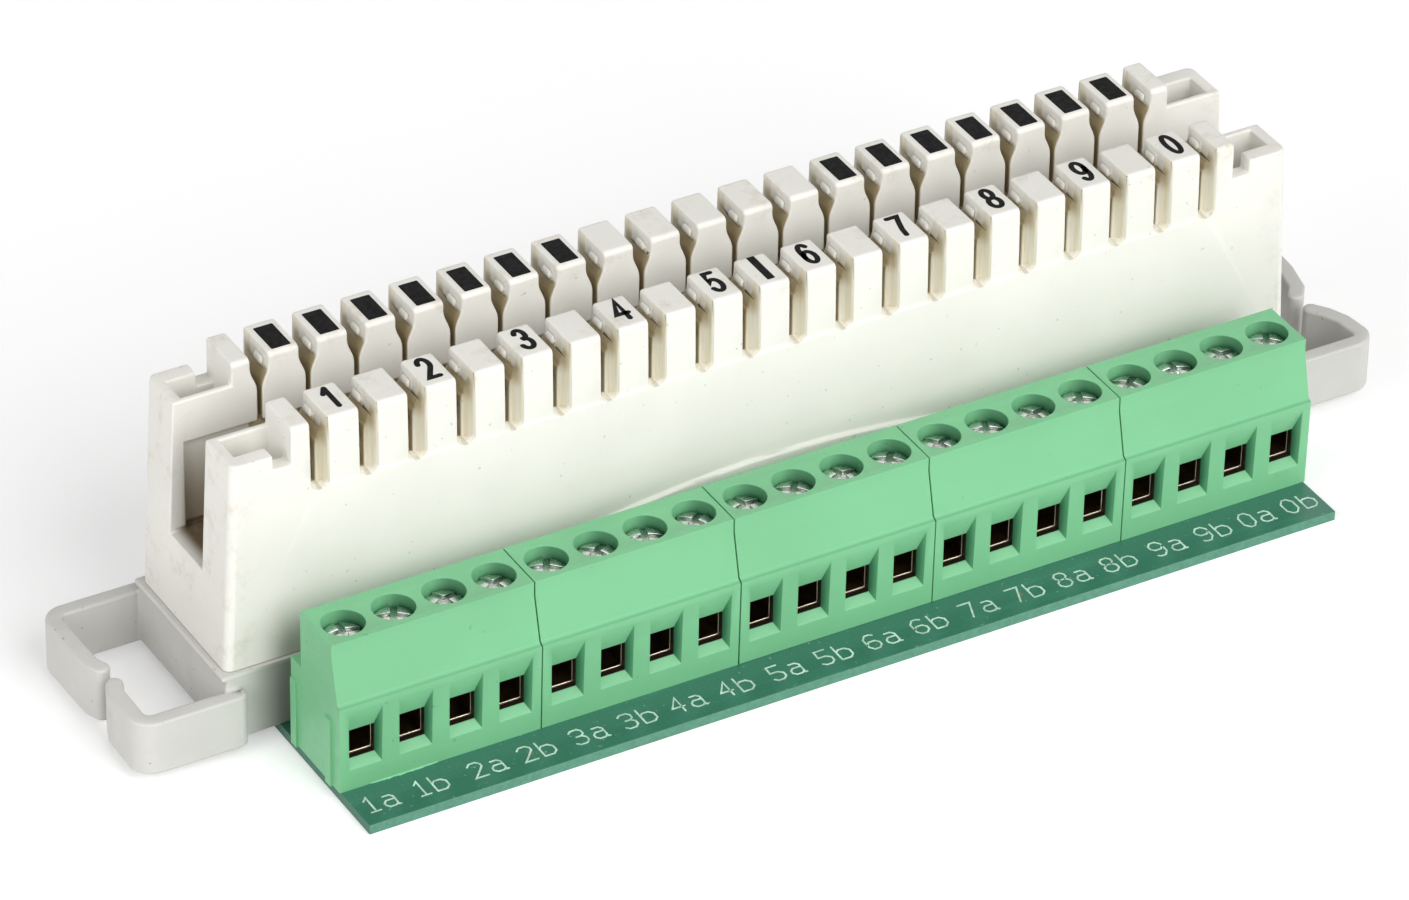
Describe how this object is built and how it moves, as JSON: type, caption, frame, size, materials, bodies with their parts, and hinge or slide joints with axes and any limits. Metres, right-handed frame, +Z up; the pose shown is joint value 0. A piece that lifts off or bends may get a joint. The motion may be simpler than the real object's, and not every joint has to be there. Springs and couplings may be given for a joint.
{
  "type": "punch down wiring block",
  "caption": "Insulation displacement wiring strip on a small circuit board with a row of screw terminals and a cable guide ring at each end.",
  "frame": {"origin": "underside of the circuit board, in the middle of the block's length and of the housing's depth", "axes": "+X along the row of poles, +Y from the screw terminals to the back of the housing, +Z up out of the wire slots"},
  "size_m": [0.1304, 0.0359, 0.032],
  "materials": {
    "housing_plastic": "satin cream moulding",
    "base_plastic": "satin warm grey moulding",
    "terminal_plastic": "satin light green moulding",
    "board": "green solder mask over glass epoxy",
    "tinned_copper": "dull tin plate",
    "contact_metal": "silver plated brass",
    "screw_steel": "bright zinc plate",
    "clamp_metal": "plain brass"
  },
  "bodies": {
    "block": {"upper_housing": "housing_plastic", "base_housing": "base_plastic", "circuit_board": "board", "terminal_body_1": "terminal_plastic", "terminal_body_2": "terminal_plastic", "terminal_body_3": "terminal_plastic", "terminal_body_4": "terminal_plastic", "terminal_body_5": "terminal_plastic", "terminal_pins_1": "tinned_copper", "terminal_pins_2": "tinned_copper", "terminal_pins_3": "tinned_copper", "terminal_pins_4": "tinned_copper", "terminal_pins_5": "tinned_copper", "contacts_a": "contact_metal", "contacts_b": "contact_metal"},
    "screw_01": {"screw_01": "screw_steel"},
    "screw_02": {"screw_02": "screw_steel"},
    "screw_03": {"screw_03": "screw_steel"},
    "screw_04": {"screw_04": "screw_steel"},
    "screw_05": {"screw_05": "screw_steel"},
    "screw_06": {"screw_06": "screw_steel"},
    "screw_07": {"screw_07": "screw_steel"},
    "screw_08": {"screw_08": "screw_steel"},
    "screw_09": {"screw_09": "screw_steel"},
    "screw_10": {"screw_10": "screw_steel"},
    "screw_11": {"screw_11": "screw_steel"},
    "screw_12": {"screw_12": "screw_steel"},
    "screw_13": {"screw_13": "screw_steel"},
    "screw_14": {"screw_14": "screw_steel"},
    "screw_15": {"screw_15": "screw_steel"},
    "screw_16": {"screw_16": "screw_steel"},
    "screw_17": {"screw_17": "screw_steel"},
    "screw_18": {"screw_18": "screw_steel"},
    "screw_19": {"screw_19": "screw_steel"},
    "screw_20": {"screw_20": "screw_steel"},
    "clamp_01": {"clamp_01": "clamp_metal"},
    "clamp_02": {"clamp_02": "clamp_metal"},
    "clamp_03": {"clamp_03": "clamp_metal"},
    "clamp_04": {"clamp_04": "clamp_metal"},
    "clamp_05": {"clamp_05": "clamp_metal"},
    "clamp_06": {"clamp_06": "clamp_metal"},
    "clamp_07": {"clamp_07": "clamp_metal"},
    "clamp_08": {"clamp_08": "clamp_metal"},
    "clamp_09": {"clamp_09": "clamp_metal"},
    "clamp_10": {"clamp_10": "clamp_metal"},
    "clamp_11": {"clamp_11": "clamp_metal"},
    "clamp_12": {"clamp_12": "clamp_metal"},
    "clamp_13": {"clamp_13": "clamp_metal"},
    "clamp_14": {"clamp_14": "clamp_metal"},
    "clamp_15": {"clamp_15": "clamp_metal"},
    "clamp_16": {"clamp_16": "clamp_metal"},
    "clamp_17": {"clamp_17": "clamp_metal"},
    "clamp_18": {"clamp_18": "clamp_metal"},
    "clamp_19": {"clamp_19": "clamp_metal"},
    "clamp_20": {"clamp_20": "clamp_metal"}
  },
  "joints": [
    {"name": "screw_01_turn", "type": "hinge", "parent": "block", "child": "screw_01", "pos_m": [-0.04804, -0.01632, 0.014], "axis": [0, 0, -1], "range_deg": [0, 2240]},
    {"name": "clamp_01_lift", "type": "slide", "parent": "block", "child": "clamp_01", "axis": [0, 0, 1], "range_m": [0, 0.0028]},
    {"name": "screw_02_turn", "type": "hinge", "parent": "block", "child": "screw_02", "pos_m": [-0.04304, -0.01632, 0.014], "axis": [0, 0, -1], "range_deg": [0, 2240]},
    {"name": "clamp_02_lift", "type": "slide", "parent": "block", "child": "clamp_02", "axis": [0, 0, 1], "range_m": [0, 0.0028]},
    {"name": "screw_03_turn", "type": "hinge", "parent": "block", "child": "screw_03", "pos_m": [-0.03804, -0.01632, 0.014], "axis": [0, 0, -1], "range_deg": [0, 2240]},
    {"name": "clamp_03_lift", "type": "slide", "parent": "block", "child": "clamp_03", "axis": [0, 0, 1], "range_m": [0, 0.0028]},
    {"name": "screw_04_turn", "type": "hinge", "parent": "block", "child": "screw_04", "pos_m": [-0.03304, -0.01632, 0.014], "axis": [0, 0, -1], "range_deg": [0, 2240]},
    {"name": "clamp_04_lift", "type": "slide", "parent": "block", "child": "clamp_04", "axis": [0, 0, 1], "range_m": [0, 0.0028]},
    {"name": "screw_05_turn", "type": "hinge", "parent": "block", "child": "screw_05", "pos_m": [-0.02777, -0.01632, 0.014], "axis": [0, 0, -1], "range_deg": [0, 2240]},
    {"name": "clamp_05_lift", "type": "slide", "parent": "block", "child": "clamp_05", "axis": [0, 0, 1], "range_m": [0, 0.0028]},
    {"name": "screw_06_turn", "type": "hinge", "parent": "block", "child": "screw_06", "pos_m": [-0.02277, -0.01632, 0.014], "axis": [0, 0, -1], "range_deg": [0, 2240]},
    {"name": "clamp_06_lift", "type": "slide", "parent": "block", "child": "clamp_06", "axis": [0, 0, 1], "range_m": [0, 0.0028]},
    {"name": "screw_07_turn", "type": "hinge", "parent": "block", "child": "screw_07", "pos_m": [-0.01777, -0.01632, 0.014], "axis": [0, 0, -1], "range_deg": [0, 2240]},
    {"name": "clamp_07_lift", "type": "slide", "parent": "block", "child": "clamp_07", "axis": [0, 0, 1], "range_m": [0, 0.0028]},
    {"name": "screw_08_turn", "type": "hinge", "parent": "block", "child": "screw_08", "pos_m": [-0.01277, -0.01632, 0.014], "axis": [0, 0, -1], "range_deg": [0, 2240]},
    {"name": "clamp_08_lift", "type": "slide", "parent": "block", "child": "clamp_08", "axis": [0, 0, 1], "range_m": [0, 0.0028]},
    {"name": "screw_09_turn", "type": "hinge", "parent": "block", "child": "screw_09", "pos_m": [-0.0075, -0.01632, 0.014], "axis": [0, 0, -1], "range_deg": [0, 2240]},
    {"name": "clamp_09_lift", "type": "slide", "parent": "block", "child": "clamp_09", "axis": [0, 0, 1], "range_m": [0, 0.0028]},
    {"name": "screw_10_turn", "type": "hinge", "parent": "block", "child": "screw_10", "pos_m": [-0.0025, -0.01632, 0.014], "axis": [0, 0, -1], "range_deg": [0, 2240]},
    {"name": "clamp_10_lift", "type": "slide", "parent": "block", "child": "clamp_10", "axis": [0, 0, 1], "range_m": [0, 0.0028]},
    {"name": "screw_11_turn", "type": "hinge", "parent": "block", "child": "screw_11", "pos_m": [0.0025, -0.01632, 0.014], "axis": [0, 0, -1], "range_deg": [0, 2240]},
    {"name": "clamp_11_lift", "type": "slide", "parent": "block", "child": "clamp_11", "axis": [0, 0, 1], "range_m": [0, 0.0028]},
    {"name": "screw_12_turn", "type": "hinge", "parent": "block", "child": "screw_12", "pos_m": [0.0075, -0.01632, 0.014], "axis": [0, 0, -1], "range_deg": [0, 2240]},
    {"name": "clamp_12_lift", "type": "slide", "parent": "block", "child": "clamp_12", "axis": [0, 0, 1], "range_m": [0, 0.0028]},
    {"name": "screw_13_turn", "type": "hinge", "parent": "block", "child": "screw_13", "pos_m": [0.01277, -0.01632, 0.014], "axis": [0, 0, -1], "range_deg": [0, 2240]},
    {"name": "clamp_13_lift", "type": "slide", "parent": "block", "child": "clamp_13", "axis": [0, 0, 1], "range_m": [0, 0.0028]},
    {"name": "screw_14_turn", "type": "hinge", "parent": "block", "child": "screw_14", "pos_m": [0.01777, -0.01632, 0.014], "axis": [0, 0, -1], "range_deg": [0, 2240]},
    {"name": "clamp_14_lift", "type": "slide", "parent": "block", "child": "clamp_14", "axis": [0, 0, 1], "range_m": [0, 0.0028]},
    {"name": "screw_15_turn", "type": "hinge", "parent": "block", "child": "screw_15", "pos_m": [0.02277, -0.01632, 0.014], "axis": [0, 0, -1], "range_deg": [0, 2240]},
    {"name": "clamp_15_lift", "type": "slide", "parent": "block", "child": "clamp_15", "axis": [0, 0, 1], "range_m": [0, 0.0028]},
    {"name": "screw_16_turn", "type": "hinge", "parent": "block", "child": "screw_16", "pos_m": [0.02777, -0.01632, 0.014], "axis": [0, 0, -1], "range_deg": [0, 2240]},
    {"name": "clamp_16_lift", "type": "slide", "parent": "block", "child": "clamp_16", "axis": [0, 0, 1], "range_m": [0, 0.0028]},
    {"name": "screw_17_turn", "type": "hinge", "parent": "block", "child": "screw_17", "pos_m": [0.03304, -0.01632, 0.014], "axis": [0, 0, -1], "range_deg": [0, 2240]},
    {"name": "clamp_17_lift", "type": "slide", "parent": "block", "child": "clamp_17", "axis": [0, 0, 1], "range_m": [0, 0.0028]},
    {"name": "screw_18_turn", "type": "hinge", "parent": "block", "child": "screw_18", "pos_m": [0.03804, -0.01632, 0.014], "axis": [0, 0, -1], "range_deg": [0, 2240]},
    {"name": "clamp_18_lift", "type": "slide", "parent": "block", "child": "clamp_18", "axis": [0, 0, 1], "range_m": [0, 0.0028]},
    {"name": "screw_19_turn", "type": "hinge", "parent": "block", "child": "screw_19", "pos_m": [0.04304, -0.01632, 0.014], "axis": [0, 0, -1], "range_deg": [0, 2240]},
    {"name": "clamp_19_lift", "type": "slide", "parent": "block", "child": "clamp_19", "axis": [0, 0, 1], "range_m": [0, 0.0028]},
    {"name": "screw_20_turn", "type": "hinge", "parent": "block", "child": "screw_20", "pos_m": [0.04804, -0.01632, 0.014], "axis": [0, 0, -1], "range_deg": [0, 2240]},
    {"name": "clamp_20_lift", "type": "slide", "parent": "block", "child": "clamp_20", "axis": [0, 0, 1], "range_m": [0, 0.0028]}
  ],
  "couplings": [
    {"joint": "screw_01_turn", "follows": "clamp_01_lift", "rad_per_m": 13963},
    {"joint": "screw_02_turn", "follows": "clamp_02_lift", "rad_per_m": 13963},
    {"joint": "screw_03_turn", "follows": "clamp_03_lift", "rad_per_m": 13963},
    {"joint": "screw_04_turn", "follows": "clamp_04_lift", "rad_per_m": 13963},
    {"joint": "screw_05_turn", "follows": "clamp_05_lift", "rad_per_m": 13963},
    {"joint": "screw_06_turn", "follows": "clamp_06_lift", "rad_per_m": 13963},
    {"joint": "screw_07_turn", "follows": "clamp_07_lift", "rad_per_m": 13963},
    {"joint": "screw_08_turn", "follows": "clamp_08_lift", "rad_per_m": 13963},
    {"joint": "screw_09_turn", "follows": "clamp_09_lift", "rad_per_m": 13963},
    {"joint": "screw_10_turn", "follows": "clamp_10_lift", "rad_per_m": 13963},
    {"joint": "screw_11_turn", "follows": "clamp_11_lift", "rad_per_m": 13963},
    {"joint": "screw_12_turn", "follows": "clamp_12_lift", "rad_per_m": 13963},
    {"joint": "screw_13_turn", "follows": "clamp_13_lift", "rad_per_m": 13963},
    {"joint": "screw_14_turn", "follows": "clamp_14_lift", "rad_per_m": 13963},
    {"joint": "screw_15_turn", "follows": "clamp_15_lift", "rad_per_m": 13963},
    {"joint": "screw_16_turn", "follows": "clamp_16_lift", "rad_per_m": 13963},
    {"joint": "screw_17_turn", "follows": "clamp_17_lift", "rad_per_m": 13963},
    {"joint": "screw_18_turn", "follows": "clamp_18_lift", "rad_per_m": 13963},
    {"joint": "screw_19_turn", "follows": "clamp_19_lift", "rad_per_m": 13963},
    {"joint": "screw_20_turn", "follows": "clamp_20_lift", "rad_per_m": 13963}
  ]
}
